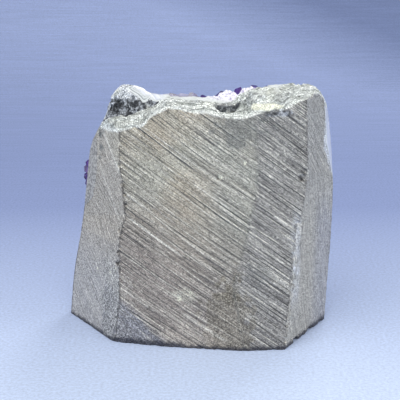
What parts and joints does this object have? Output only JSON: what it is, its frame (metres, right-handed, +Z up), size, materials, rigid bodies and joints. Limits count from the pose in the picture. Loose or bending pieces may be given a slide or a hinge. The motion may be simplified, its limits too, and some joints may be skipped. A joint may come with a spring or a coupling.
{
  "type": "amethyst druzy",
  "caption": "Geode section that stands on a sawn base: basalt matrix, polished agate rim and a hollow lined with amethyst crystals.",
  "frame": {"origin": "on the surface it stands on, under the middle of its bounding box", "axes": "+Z up, +Y the way the crystals and the polished rim face, -Y the sawn back, X across"},
  "size_m": [0.1108, 0.0474, 0.1018],
  "materials": {
    "basalt": "saw-cut and broken, dry and matt",
    "agate": "polished where it faces front, broken elsewhere",
    "amethyst": "natural crystal faces, glossy"
  },
  "bodies": {
    "root": {"basalt_matrix": "basalt", "agate_lining": "agate", "amethyst_crust": "amethyst"}
  },
  "joints": []
}
